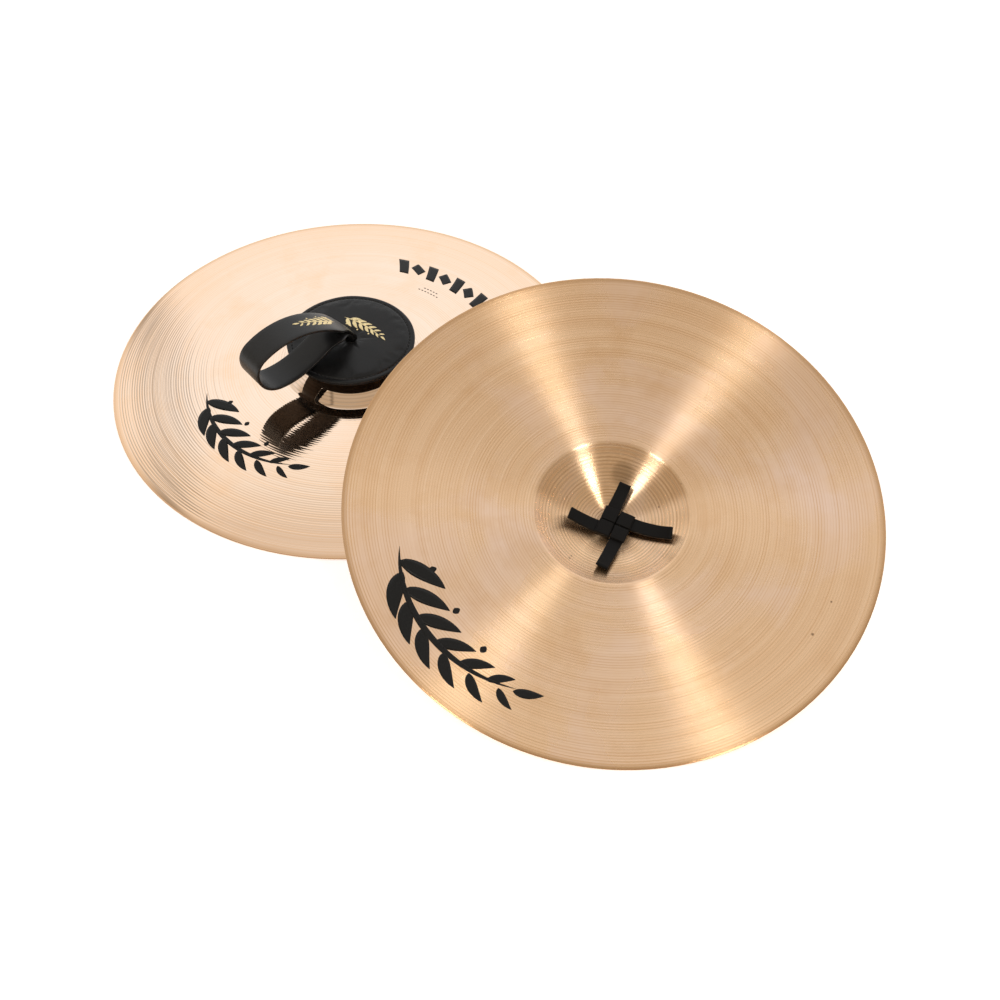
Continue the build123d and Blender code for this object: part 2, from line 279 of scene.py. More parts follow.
def bronze(name, bright, deep, stain, rough, grooves, anisotropy, lines, valleys, tint, worn):
    """Lathed cymbal bronze.

    grooves is how far the turning lines tilt the surface; lines, valleys and tint are how
    much of the deep colour they, the tone grooves and the outer part of the plate take.
    """
    s = Shader(name, lathed=True)
    radius = s.vector("LENGTH", flat(s), output="Value")
    fine = s.noise(1.0, 2.0, 0.6, rings(s, radius, 2600.0))
    medium = s.noise(1.0, 3.0, 0.6, rings(s, radius, 520.0))
    broad = s.noise(1.0, 2.0, 0.5, rings(s, radius, 70.0, 1.4))
    cloud = s.noise(9.0, 4.0, 0.55, distortion=0.6)
    patches = s.noise(22.0, 5.0, 0.6)
    colour = s.mix(s.spread(medium, 0.35, 0.75, 0.0, lines), bright, deep)
    colour = s.mix(s.spread(broad, 0.45, 0.75, 0.0, lines * 0.5), colour, deep)
    colour = s.mix(s.spread(cloud, 0.45, 0.72, 0.0, 0.8), colour, stain)
    colour = s.mix(s.spread(patches, 0.52, 0.8, 0.0, 0.5), colour, deep)
    uneven = s.noise(1.0, 2.0, 0.5, rings(s, radius, 190.0, 0.5))
    valley = waves(s, radius, 1000 / GROOVE_PITCH, 3.0)
    valley = s.math("MULTIPLY", valley, s.spread(uneven, 0.3, 0.7, 0.0, valleys))
    colour = s.mix(valley, colour, deep)
    outer = s.spread(radius, *OUTER_ZONE, smooth=True)
    outer = s.math("MULTIPLY", outer, s.spread(medium, 0.3, 0.7, 0.1, 0.75))
    colour = s.mix(s.math("MULTIPLY", outer, tint), colour, deep)
    # Darker towards the outer edge of the rim: partly the rim's own tone, partly painted shade
    # that dims the lamps' highlight along the rim's curve.
    rim = s.spread(radius, *RIM_ZONE, 0.0, 0.85, smooth=True)
    colour = s.mix(rim, colour, times(deep, 0.82))
    turns = s.math(
        "MULTIPLY", waves(s, radius, BELL_TURNS, 2.0), s.spread(radius, *BELL_EDGE, 0.30, 0.0)
    )
    colour = s.mix(turns, colour, times(deep, 0.5))
    if worn:
        colour = wear(s, colour, medium)
    spin = s.node("ShaderNodeAttribute", attribute_name="spin")
    tangent = s.node(
        "ShaderNodeVectorTransform",
        {0: spin.outputs["Vector"]},
        vector_type="VECTOR",
        convert_from="OBJECT",
        convert_to="WORLD",
    ).outputs[0]
    # The turning lines tilt the surface only along the radius.
    upright = s.node("ShaderNodeNewGeometry").outputs["Normal"]
    tilt = s.math("MULTIPLY", s.math("SUBTRACT", fine, 0.5), grooves)
    outwards = s.vector("CROSS_PRODUCT", upright, tangent)
    normal = s.vector("ADD", upright, s.vector("SCALE", outwards, scale=tilt))
    s.set(
        Base_Color=colour,
        Metallic=1.0,
        Roughness=s.spread(cloud, 0.3, 0.75, rough * 0.92, rough * 1.1),
        Normal=s.vector("NORMALIZE", normal),
        Tangent=tangent,
        Anisotropic=anisotropy,
        Anisotropic_Rotation=0.25,
    )
    return s.material


def ink(name, colour, metallic, rough, gloss=0.5):
    """Printing on the plates, pad and strap: a thin film that shows what lies under it."""
    s = Shader(name, lathed=True)
    radius = s.vector("LENGTH", flat(s), output="Value")
    lines = s.noise(1.0, 2.0, 0.6, rings(s, radius, 900.0))
    worn = s.noise(900.0, 3.0, 0.6)
    shade = s.mix(s.spread(worn, 0.4, 0.8), colour, tuple(0.55 * c + 0.01 for c in colour))
    s.set(
        Base_Color=shade,
        Metallic=metallic,
        Roughness=s.spread(worn, 0.3, 0.7, rough, rough + 0.12),
        Normal=s.bump(lines, 0.3, 0.0001),
        Specular_IOR_Level=gloss,
    )
    return s.material


def leather(name, colour, pale, rough, grain, scale, gloss=0.22):
    """Black cowhide: pebbled grain, fine pores and soft scuffs."""
    s = Shader(name)
    cells = s.voronoi(scale, "SMOOTH_F1")["Distance"]
    creases = s.voronoi(scale * 0.55, "DISTANCE_TO_EDGE")["Distance"]
    pores = s.noise(scale * 3.2, 3.0, 0.6)
    scuffs = s.noise(38.0, 5.0, 0.62, distortion=0.4)
    soft = s.noise(14.0, 2.0, 0.5)
    edge = s.spread(creases, 0.0, 0.08)
    height = s.math("ADD", s.math("MULTIPLY", cells, 0.5), s.math("MULTIPLY", edge, 0.35))
    height = s.math("ADD", height, s.math("MULTIPLY", pores, 0.3))
    base = s.mix(s.spread(scuffs, 0.45, 0.8, 0.0, 0.6), colour, pale)
    crease = s.math("MULTIPLY", s.spread(creases, 0.0, 0.05, 1.0, 0.0), 0.4)
    base = s.mix(crease, base, (0.004, 0.004, 0.004))
    normal = s.bump(height, grain, 0.00018, s.bump(soft, 0.25, 0.0006))
    s.set(
        Base_Color=base,
        Roughness=s.spread(scuffs, 0.35, 0.75, rough * 0.88, rough * 1.18),
        Normal=normal,
        Specular_IOR_Level=gloss,
        Sheen_Weight=0.03,
        Sheen_Roughness=0.4,
    )
    return s.material


def thread_material(name, colour):
    """Waxed thread: twisted fibres."""
    s = Shader(name)
    values = {"Vector": s.coords, "Scale": 1400.0, "Distortion": 1.5}
    twist = s.node("ShaderNodeTexWave", values, bands_direction="DIAGONAL").outputs["Fac"]
    s.set(
        Base_Color=s.mix(twist, colour, times(colour, 2.2)),
        Roughness=s.spread(twist, 0.0, 1.0, 0.42, 0.6),
        Normal=s.bump(twist, 0.5, 0.0001),
    )
    return s.material


def floor_material():
    """Matt white that hardly shows a shadow."""
    s = Shader("studio_floor")
    mottle = s.noise(3.0, 3.0, 0.5)
    s.set(
        Base_Color=s.mix(mottle, (0.90, 0.90, 0.90), (0.93, 0.93, 0.93)),
        Roughness=0.9,
        Emission_Color=(1, 1, 1, 1),
        Emission_Strength=0.58,
    )
    return s.material


# ---- meshes ------------------------------------
def make_object(name, points, faces, place, materials, picks=None):
    """A mesh from points in a cymbal's frame, in its place in the shared frame.

    lathe keeps each point's place in the cymbal's frame, and spin the way round its axis.
    """
    local = np.asarray(points, float) * MM
    turn = np.array(place.to_3x3())
    mesh = bpy.data.meshes.new(name)
    mesh.from_pydata((local @ turn.T + np.array(place.translation)).tolist(), [], faces)
    around = np.stack([-local[:, 1], local[:, 0], 0 * local[:, 0]], -1)
    around /= np.maximum(np.linalg.norm(around, axis=1), 1e-9)[:, None]
    for key, values in (("lathe", local), ("spin", around @ turn.T)):
        attribute = mesh.attributes.new(key, "FLOAT_VECTOR", "POINT")
        attribute.data.foreach_set("vector", values.astype(np.float32).ravel())
    for material in materials:
        mesh.materials.append(material)
    if picks is not None:
        mesh.polygons.foreach_set("material_index", picks)
    mesh.polygons.foreach_set("use_smooth", [True] * len(mesh.polygons))
    mesh.update()
    return add_object(name, mesh)


def make_solid(name, shells, place, material):
    """A mesh of closed shells, given as (points, faces), each turned right side out."""
    made = make_object(name, *shells, place, [material])
    bm = bmesh.new()
    bm.from_mesh(made.data)
    bmesh.ops.recalc_face_normals(bm, faces=bm.faces)
    bm.to_mesh(made.data)
    bm.free()
    return made


def angles(count):
    """Even steps of a full turn."""
    return np.arange(count) * 2 * math.pi / count


def lathe(profile, segments, wobble=None):
    """Points and faces of a closed (radius, height) outline turned about Z."""
    profile = np.asarray(profile, float)
    turn = angles(segments)
    points = np.empty((len(profile), segments, 3))
    points[..., 0] = profile[:, :1] * np.cos(turn)
    points[..., 1] = profile[:, :1] * np.sin(turn)
    points[..., 2] = profile[:, 1:]
    if wobble is not None:
        points += wobble
    rows = len(profile)
    k, i = np.meshgrid(np.arange(rows), np.arange(segments), indexing="ij")
    k2, i2 = (k + 1) % rows, (i + 1) % segments
    corners = ((k, i), (k, i2), (k2, i2), (k2, i))
    quads = np.stack([row * segments + column for row, column in corners], -1)
    return points.reshape(-1, 3), quads.reshape(-1, 4).tolist()


def tube_faces(rows, around):
    """Quads between rings of points, and a cap on each end."""
    faces = []
    for k in range(rows - 1):
        for i in range(around):
            j = (i + 1) % around
            corners = ((k, i), (k, j), (k + 1, j), (k + 1, i))
            faces.append([row * around + column for row, column in corners])
    faces.append(list(range(around))[::-1])
    faces.append([(rows - 1) * around + i for i in range(around)])
    return faces


def sweep(centres, laterals, normals, half_widths, half_heights, corner=0.5, crown=0.0):
    """A closed strip along a line: flat, with rounded long edges."""
    across = np.linspace(-1, 1, 9)
    edge = np.radians([60.0, 30.0])
    rows = []
    for c, lat, nor, w, h in zip(centres, laterals, normals, half_widths, half_heights):
        r = min(corner, h * 0.9, w * 0.9)
        half = [((w - r) * a, h + crown * (1 - a * a)) for a in across]
        half += [(w - r + r * math.cos(b), h - r + r * math.sin(b)) for b in edge]
        half += [(w, h - r), (w, r - h)]
        half += [(w - r + r * math.cos(b), r - h - r * math.sin(b)) for b in edge[::-1]]
        ring = half + [(-u, -v) for u, v in half]
        rows.append([c + lat * u + nor * v for u, v in ring])
    return np.array(rows).reshape(-1, 3), tube_faces(len(rows), len(rows[0]))


def rolled(side, normal, angle):
    """A strip's two cross directions, turned about its line."""
    c, s = np.cos(angle)[:, None], np.sin(angle)[:, None]
    return side * c + normal * s, normal * c - side * s


def merge(shells):
    """One set of points and faces from several."""
    points, faces, start = [], [], 0
    for p, f in shells:
        points.append(np.asarray(p, float))
        faces += [[start + v for v in face] for face in f]
        start += len(p)
    return np.vstack(points), faces


# ---- plates ------------------------------------
RIM_LAND = 1.8
BELL_RADIUS = 67.0
BOW_RISE = 18.0
BOW_THICKNESS = 1.3
BOW_SAG = 2.2
BELL_APEX = 42.6
BELL_THICKNESS = 1.4
BELL_HOLE = 6.0
CORNER_BLEND = 1.45
BELOW_ALL = -50.0  # lower than any part of a plate
GROOVE_PITCH = 2.4
GROOVE_STEP = GROOVE_PITCH / 4
GROOVES_START, GROOVES_END, GROOVE_FADE = 8.0, 226.5, 4.0
TOP_GROOVES, UNDER_GROOVES = (0.022, 0.070), (0.020, 0.050)  # shallowest and deepest
PLATE_SEGMENTS = 128


def cap(apex, root_radius, root_height):
    """Height over radius of the ball that the bell is cut from."""
    rise = apex - root_height
    ball = (root_radius**2 + rise**2) / (2 * rise)
    return lambda r: apex - ball + np.sqrt(np.maximum(ball**2 - r**2, 0))


def bow(rim, root):
    """Height over radius of the arc from the rim to the bell."""
    (x0, z0), (x1, z1) = rim, root
    run = math.hypot(x1 - x0, z1 - z0)
    radius = (run**2 / 4 + BOW_SAG**2) / (2 * BOW_SAG)
    down = (radius - BOW_SAG) / run
    cx, cz = (x0 + x1) / 2 - (z1 - z0) * down, (z0 + z1) / 2 - (x0 - x1) * down
    return lambda r: cz + np.sqrt(radius**2 - (r - cx) ** 2)


def plate_surface(bell, flank):
    """Height over radius of the bell and the bow, with their corner blended."""

    def height(r):
        r = np.asarray(r, float)
        a, b = bell(np.minimum(r, BELL_RADIUS + 8.0)), flank(r)
        b = np.where(r < BELL_RADIUS - 17.0, BELOW_ALL, b)
        a = np.where(r > BELL_RADIUS + 7.9, BELOW_ALL, a)
        h = np.maximum(CORNER_BLEND - np.abs(a - b), 0)
        return np.maximum(a, b) + h * h / (4 * CORNER_BLEND)

    return height


outside = plate_surface(
    cap(BELL_APEX, BELL_RADIUS, BOW_RISE + BOW_THICKNESS),
    bow((RIM, RIM_THICKNESS), (BELL_RADIUS, BOW_RISE + BOW_THICKNESS)),
)
inside = plate_surface(
    cap(BELL_APEX - BELL_THICKNESS, BELL_RADIUS, BOW_RISE),
    bow((RIM - RIM_LAND, 0), (BELL_RADIUS, BOW_RISE)),
)


def groove_depths(radii, limits, rng):
    """Depth of the lathe's tone grooves, each a little different from the next."""
    phase = radii / GROOVE_PITCH
    each = rng.uniform(*limits, int(phase.max()) + 2)
    depth = each[np.floor(phase).astype(int)]
    fade = np.clip((RIM - GROOVE_FADE - radii) / GROOVE_FADE, 0, 1)
    fade = fade * np.clip((radii - GROOVES_START - 1) / GROOVE_FADE, 0, 1)
    return depth * fade * 0.5 * (1 - np.cos(2 * math.pi * phase))


def make_plate(name, node, body, place, seed):
    rng = np.random.default_rng(seed)
    first, last = int(GROOVES_START / GROOVE_STEP), int(GROOVES_END / GROOVE_STEP)
    radii = np.arange(first, last) * GROOVE_STEP
    strong = np.clip((radii - 60) / 60, 0.5, 1)  # half as deep on the bell
    top = outside(radii) - groove_depths(radii, TOP_GROOVES, rng) * strong
    under = inside(radii) + groove_depths(radii, UNDER_GROOVES, rng)
    edge = [
        (RIM - RIM_LAND, 0.0),
        (RIM - 0.35, 0.0),
        (RIM - 0.1, 0.1),
        (RIM, RIM_THICKNESS / 2),
        (RIM - 0.1, RIM_THICKNESS - 0.1),
        (RIM - 0.4, outside(RIM - 0.4)),
        (RIM - 1.2, outside(RIM - 1.2)),
    ]
    high, low = outside(BELL_HOLE), inside(BELL_HOLE)
    hole = [
        (BELL_HOLE + 1.0, outside(BELL_HOLE + 1.0)),
        (BELL_HOLE + 0.3, high - 0.02),
        (BELL_HOLE, high - 0.3),
        (BELL_HOLE, low + 0.3),
        (BELL_HOLE + 0.3, low + 0.02),
        (BELL_HOLE + 1.0, inside(BELL_HOLE + 1.0)),
    ]
    outline = edge + list(zip(radii[::-1], top[::-1])) + hole + list(zip(radii, under))
    points, faces = lathe(outline, PLATE_SEGMENTS)
    start, end = len(edge) // 2, len(edge) + len(radii) + len(hole) // 2
    satin = [int(not start <= k < end) for k in range(len(outline))]
    picks = np.repeat(satin, PLATE_SEGMENTS)
    made = make_object(name, points, faces, place, [BRILLIANT, SATIN], picks)
    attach(made, body)
    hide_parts(node)


# ---- ornaments ---------------------------------
DASH_PITCH, DASH_LENGTH, DASH_WIDTH = 3.6, 2.7, 1.3
PRINT_DEPTH, FOIL_DEPTH = (-0.02, 0.06), (-0.03, 0.07)  # below and above the surface


def leaf_grid(start, lean, length, width, curl, blunt=0.75, rows=13, columns=5):
    """A leaf or stroke in a plane, as a grid of points: a curved spine with tapering sides."""
    spine, here, angle = [], np.array(start, float), math.radians(lean)
    step = length / (rows - 1)
    for _ in range(rows):
        spine.append((here.copy(), angle))
        angle += math.radians(curl) / (rows - 1)
        here = here + step * heading(angle)
    grid = []
    for k, (point, angle) in enumerate(spine):
        t = k / (rows - 1)
        half = width / 2 * max(math.sin(math.pi * t**blunt) ** 0.8 if 0 < t < 1 else 0, 0.04)
        side = np.array([-math.sin(angle), math.cos(angle)])
        grid.append([point + side * half * u for u in np.linspace(-1, 1, columns)])
    return grid


def film(grid, surface, low, high):
    """A closed thin shell over a grid; surface(u, v, lift) gives its place."""
    rows, columns = len(grid), len(grid[0])
    points = [surface(*point, lift) for lift in (high, low) for row in grid for point in row]
    below, faces = rows * columns, []

    def at(r, c):
        return r * columns + c

    for r in range(rows - 1):
        for c in range(columns - 1):
            quad = [at(r, c), at(r + 1, c), at(r + 1, c + 1), at(r, c + 1)]
            faces += [quad, [below + v for v in quad[::-1]]]
    border = [at(r, 0) for r in range(rows)]
    border += [at(rows - 1, c) for c in range(1, columns)]
    border += [at(r, columns - 1) for r in range(rows - 2, -1, -1)]
    border += [at(0, c) for c in range(columns - 2, 0, -1)]
    for a, b in zip(border, border[1:] + border[:1]):
        faces.append([b, a, below + a, below + b])
    return points, faces


def scaled(grids, scale):
    return [[[p * scale for p in row] for row in grid] for grid in grids]


def sprig(scale, mirror=1):
    """A leafy spray, 100 long before scaling, along +X about y = 0."""
    grids = [leaf_grid((-52, 4 * mirror), -14 * mirror, 104, 3.4, 28 * mirror, 0.9, 33)]
    for i, length in enumerate((30, 27, 25, 22, 19, 15)):
        x = -44 + 16 * i
        y = 4 * mirror - mirror * 0.245 * (x + 52) * (1 - (x + 52) / 104)
        grids.append(leaf_grid((x, y), 52 * mirror, length, 8.2 * length / 27, -34 * mirror))
        grids.append(
            leaf_grid((x + 7, y), -50 * mirror, length * 0.86, 7.6 * length / 27, 32 * mirror)
        )
    grids.append(leaf_grid((50, 3 * mirror), 10 * mirror, 16, 5.0, 8 * mirror))
    for x, y in ((-36, 17), (-6, 17), (22, 13)):
        grids.append(leaf_grid((x, y * mirror), 0, 4.2, 4.2, 0, 1.0, 9))
    return scaled(grids, scale)


def blocks(scale):
    """A slanted row of bars and lozenges, 100 long before scaling."""
    grids = []
    for i in range(7):
        lozenge = i % 2
        x, tall, wide = -44 + 14.6 * i, 16 if lozenge else 21, 15.0 if lozenge else 9.6
        foot, head = np.array([x - 3.5, -tall / 2]), np.array([x + 3.5, tall / 2])
        rows = []
        for t in np.linspace(0, 1, 9):
            half = wide / 2 * (1 - abs(2 * t - 1) * (0.92 if lozenge else 0.0))
            middle = foot + (head - foot) * t
            rows.append([middle + np.array([half * u, 0]) for u in np.linspace(-1, 1, 5)])
        grids.append(rows)
    return scaled(grids, scale)


def dashes(count):
    """A row of short strokes."""
    starts = [((i - (count - 1) / 2) * DASH_PITCH - DASH_LENGTH / 2, 0) for i in range(count)]
    return [leaf_grid(s, 0, DASH_LENGTH, DASH_WIDTH, 0, 1.0, 5, 3) for s in starts]


def on_plate(height, side, radius, angle):
    """Maps a flat ornament to a plate: +X runs round it at that radius, +Y to its middle."""

    def surface(u, v, lift):
        a, r = math.radians(angle) + side * u / radius, radius - v
        x, y = r * math.cos(a), r * math.sin(a)
        return [x, y, height(math.hypot(x, y)) + side * lift]

    return surface


def on_pad(height, x0, y0, angle):
    """Maps a flat ornament to a pad, about a point and turned."""
    a = math.radians(angle)

    def surface(u, v, lift):
        x, y = x0 + u * math.cos(a) - v * math.sin(a), y0 + u * math.sin(a) + v * math.cos(a)
        return [x, y, height(x, y) + lift]

    return surface


def make_ornament(name, groups, depth, place, material, body):
    """One thin piece from several (grids, surface) groups."""
    shells = [film(grid, surface, *depth) for grids, surface in groups for grid in grids]
    made = make_solid(name, merge(shells), place, material)
    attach(made, body)


# ---- pads --------------------------------------
PAD_RADIUS = 60.5
PAD_HOLE = 5.7
PAD_BOTTOM = 42.9
PAD_LEATHER = 1.2
PAD_TOP = 47.9
PAD_SHOULDER = 46.0
SEAM = 55.6
STITCH_PITCH, STITCH_SHARE = 4.2, 0.74
THREAD_RADIUS = 0.34
PAD_SEGMENTS = 144
PUFF_ROWS = 30
PUFF_MARGIN = 0.9  # unswollen edge at the hole and the seam
PUFF_LIMIT, QUICK_PUFF = 0.75, 0.4
CLOTH_FRAMES = 20
PAD_LEVEL = PAD_TOP - PUFF_LIMIT - 0.05  # the top leather before it swells
PAD_SPLIT = PAD_BOTTOM + PAD_LEATHER + 0.05  # between the base and the cover
SEAM_TOP = PAD_LEVEL - 1.15  # bottom of the seam's groove


def pad_drop(radius, drop):
    """How far a pad hangs at a radius, from its drop at the edge."""
    return drop * (np.asarray(radius, float) / PAD_RADIUS) ** 2


def puffed(name, radii, heights, seed):
    """Heights of the top leather after a short cloth run: held at the hole and the seam,
    it swells over the felt between them."""
    rng = np.random.default_rng(seed)
    turn = angles(PAD_SEGMENTS)
    start = np.repeat(heights[:, None], PAD_SEGMENTS, 1)
    t = np.linspace(0, 1, len(radii))[:, None]
    for wave in range(2, 7):
        lean = rng.uniform(0, 2 * math.pi)
        start = start + rng.uniform(0.03, 0.09) * np.sin(wave * turn + lean) * np.sin(math.pi * t)
    out = np.repeat(radii[:, None], PAD_SEGMENTS, 1)
    points = np.stack([out * np.cos(turn), out * np.sin(turn), start], -1).reshape(-1, 3)
    faces = []
    for k in range(len(radii) - 1):
        for i in range(PAD_SEGMENTS):
            j = (i + 1) % PAD_SEGMENTS
            corners = ((k, i), (k + 1, i), (k + 1, j), (k, j))
            faces.append([row * PAD_SEGMENTS + column for row, column in corners])
    sheet = make_object(name, points, faces, Matrix.Identity(4), [])
    held = sheet.vertex_groups.new(name="held")
    last = len(radii) - 1
    for row, weight in ((0, 1.0), (1, 0.6), (last - 1, 0.6), (last, 1.0)):
        held.add([row * PAD_SEGMENTS + i for i in range(PAD_SEGMENTS)], weight, "REPLACE")
    cloth = sheet.modifiers.new("cloth", "CLOTH")
    settings = cloth.settings
    settings.quality = 6
    settings.mass = 0.4
    settings.tension_stiffness = settings.compression_stiffness = 25
    settings.shear_stiffness = 12
    settings.bending_stiffness = 3
    settings.vertex_group_mass = "held"
    settings.use_pressure = True
    settings.uniform_pressure_force = 4
    settings.shrink_min = -0.012
    settings.effector_weights.gravity = 0
    cloth.point_cache.frame_start, cloth.point_cache.frame_end = 1, CLOTH_FRAMES
    for step in range(1, CLOTH_FRAMES + 1):
        bpy.context.scene.frame_set(step)
    done = sheet.evaluated_get(bpy.context.evaluated_depsgraph_get())
    after = np.array([v.co[2] for v in done.data.vertices]).reshape(start.shape) / MM
    bpy.context.scene.frame_set(1)
    bpy.data.objects.remove(sheet, do_unlink=True)
    rise = np.nan_to_num(after - start)
    return start + PUFF_LIMIT * np.tanh(rise / PUFF_LIMIT)


def pad_shell(profile, drop, lift=0.0):
    """A (radius, height) outline of a pad turned about Z, raised by lift and hung by drop."""
    profile = np.array(profile)
    wobble = np.zeros((len(profile), PAD_SEGMENTS, 3))
    wobble[:, :, 2] += lift
    wobble[:, :, 2] -= pad_drop(profile[:, 0], drop)[:, None]
    return lathe(profile, PAD_SEGMENTS, wobble)


def stitch(start, span, drop, sides=7):
    """One bent length of thread on the seam, with rounded ends."""
    points = []
    steps = np.linspace(0, 1, 7)
    for t in steps:
        a = start + span * t
        bulge = THREAD_RADIUS * math.sin(math.pi * t) ** 0.5
        r, z = SEAM + 0.12 * (t - 0.5), SEAM_TOP - 0.02 + bulge
        thick = THREAD_RADIUS * max(math.sin(math.pi * (0.04 + 0.92 * t)) ** 0.35, 0.2)
        out = np.array([*heading(a), 0])
        centre = out * r + UP * (z - float(pad_drop(r, drop)))
        for j in range(sides):
            b = 2 * math.pi * j / sides
            points.append(centre + out * thick * math.cos(b) + UP * thick * math.sin(b))
    return points, tube_faces(len(steps), sides)


def make_pad_cover(prefix, place, drop, seed):
    """The top leather, with the seam's groove and a rolled edge; gives its height."""
    radii = np.linspace(PAD_HOLE + PUFF_MARGIN, SEAM - PUFF_MARGIN, PUFF_ROWS)
    shoulder = np.clip((radii - PAD_SHOULDER) / (SEAM - PUFF_MARGIN - PAD_SHOULDER), 0, 1)
    dip = np.clip((14.0 - radii) / 7.0, 0, 1) ** 2
    heights = PAD_LEVEL - 0.5 * shoulder**2 - 0.7 * dip
    top = puffed(f"{prefix}_cloth", radii, heights, seed)
    hole = [
        (PAD_HOLE + 0.25, PAD_SPLIT),
        (PAD_HOLE, PAD_SPLIT + 0.4),
        (PAD_HOLE + 0.05, PAD_LEVEL - 1.5),
        (PAD_HOLE + 0.4, PAD_LEVEL - 0.95),
    ]
    groove = [
        (SEAM - 0.55, SEAM_TOP + 0.28),
        (SEAM - 0.35, SEAM_TOP),
        (SEAM + 0.35, SEAM_TOP),
        (SEAM + 0.55, SEAM_TOP + 0.30),
        (SEAM + 1.0, SEAM_TOP + 0.48),
    ]
    middle, high = (PAD_SPLIT + SEAM_TOP + 0.5) / 2, (SEAM_TOP + 0.5 - PAD_SPLIT) / 2
    roll, reach = SEAM + 2.6, PAD_RADIUS - SEAM - 2.6
    edge = [
        (roll + reach * math.cos(a), middle + high * math.sin(a))
        for a in np.radians(np.arange(75, -91, -15))
    ]
    under = [(r, PAD_SPLIT) for r in np.linspace(SEAM, PAD_HOLE + 2, 8)]
    profile = np.array(hole + list(zip(radii, heights)) + groove + edge + under)[::-1]
    rng = np.random.default_rng(seed + 1)
    turn = angles(PAD_SEGMENTS)
    ripple = sum(
        rng.uniform(0.04, 0.12) * np.sin(n * turn + rng.uniform(0, 6.3)) for n in (2, 3, 5, 9, 14)
    )
    near_edge = np.clip((profile[:, 0] - SEAM) / (PAD_RADIUS - SEAM), 0, 1)
    lift = near_edge[:, None] * ripple * (profile[:, 1] > PAD_SPLIT + 0.1)[:, None]
    first = len(profile) - len(hole) - PUFF_ROWS
    lift[first : first + PUFF_ROWS] += (top - heights[:, None])[::-1]
    shell = pad_shell(profile, drop, lift)
    made = make_solid(f"{prefix}_pad_cover", shell, place, PAD_LEATHER_SKIN)
    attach(made, f"{prefix}_pad")
    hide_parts(f"{prefix}_pad_top_leather", f"{prefix}_pad_core")

    def height(x, y):
        r, a = math.hypot(x, y), math.atan2(y, x) % (2 * math.pi)
        row, column = np.interp(r, radii, np.arange(PUFF_ROWS)), a / (2 * math.pi) * PAD_SEGMENTS
        k, i = min(int(row), PUFF_ROWS - 2), int(column)
        f, g = row - k, column - i
        i, i2 = i % PAD_SEGMENTS, (i + 1) % PAD_SEGMENTS
        near, far = (top[n, i] * (1 - g) + top[n, i2] * g for n in (k, k + 1))
        return near * (1 - f) + far * f - float(pad_drop(r, drop))

    return height


def make_pad_base(prefix, place, drop):
    """The leather that lies on the bell."""
    low, high = PAD_BOTTOM, PAD_SPLIT - 0.02
    disc = [(r, high) for r in np.linspace(PAD_HOLE, PAD_RADIUS - 0.9, 16)]
    disc += [(PAD_RADIUS - 0.35, high - 0.12), (PAD_RADIUS - 0.15, (low + high) / 2)]
    disc += [(PAD_RADIUS - 0.4, low + 0.12)]
    disc += [(r, low) for r in np.linspace(PAD_RADIUS - 0.9, PAD_HOLE, 16)]
    made = make_solid(f"{prefix}_pad_base", pad_shell(disc, drop), place, RAW_LEATHER)
    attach(made, f"{prefix}_pad")
    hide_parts(f"{prefix}_pad_bottom_leather")


def make_pad_seam(prefix, place, drop):
    """The stitches, in the cover's groove."""
    count = round(2 * math.pi * SEAM / STITCH_PITCH)
    span = 2 * math.pi / count * STITCH_SHARE
    stitches = [stitch(start, span, drop) for start in angles(count)]
    made = make_solid(f"{prefix}_pad_seam", merge(stitches), place, BLACK_THREAD)
    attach(made, f"{prefix}_pad")
    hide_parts(f"{prefix}_pad_stitching")


def make_pad(prefix, place, drop, seed):
    height = make_pad_cover(prefix, place, drop, seed)
    make_pad_base(prefix, place, drop)
    make_pad_seam(prefix, place, drop)
    return height


# ---- straps ------------------------------------
STRAP_HALF_THICKNESS = 1.25
GRIP_HALF, NECK_HALF = 14.5, 4.75
NECK_END, SHOULDER_START = 2.0, 20.0
HINGE_Z = PAD_TOP + 3.2
PLY = 1.5
LOOP_STEP = 1.5
LOOP_START = 3.0  # reach at which the loop leaves the neck
NECK_LINE = 1.27  # middle of each ply of the neck, from the neck's middle
NECK_IN_ROOT = 1.5
BEND_LINE, BEND_REACH = math.radians(40), (2.5, 9.0)  # a line out from the hinge at this angle, and two reaches along it; the points there are worked out but not used
KNOT_ROOT_TOP = 40.1


def turned(vector, angle):
    """A plane vector turned by an angle in radians."""
    c, s = math.cos(angle), math.sin(angle)
    return np.array([vector[0] * c - vector[1] * s, vector[0] * s + vector[1] * c])


def arcs(points, start):
    """Points along tangent arcs through (reach, height) points, from a start direction."""
    tangent = heading(start)
    line = [np.array(points[0], float)]
    for here, there in zip(points, points[1:]):
        here, there = np.array(here, float), np.array(there, float)
        chord = there - here
        length = math.hypot(*chord)
        chord = chord / length
        half = math.atan2(tangent[0] * chord[1] - tangent[1] * chord[0], tangent @ chord)
        steps = max(2, math.ceil(length / LOOP_STEP))
        for k in range(1, steps + 1):
            t = k / steps
            if abs(half) < 1e-6:
                reach = length * t
            else:
                reach = length * math.sin(half * t) / math.sin(half)
            line.append(here + turned(tangent, half * t) * reach)
        tangent = turned(tangent, 2 * half)
    return line


def bend(a, a_angle, b, b_angle, steps=7, pull=0.45):
    """A smooth curve between two points and their directions, ends left out."""
    a, b = np.array(a, float), np.array(b, float)
    gap = math.hypot(*(b - a)) * pull
    p, q = a + gap * heading(a_angle), b - gap * heading(b_angle)
    out = []
    for t in np.linspace(0, 1, steps + 2)[1:-1]:
        u = 1 - t
        out.append(u**3 * a + 3 * u * u * t * p + 3 * u * t * t * q + t**3 * b)
    return out


def strap_half_width(reach):
    """Half the strap's width, from its neck to its grip."""
    t = min(max((reach - NECK_END) / (SHOULDER_START - NECK_END), 0), 1)
    return NECK_HALF + (GRIP_HALF - NECK_HALF) * t * t * (3 - 2 * t)


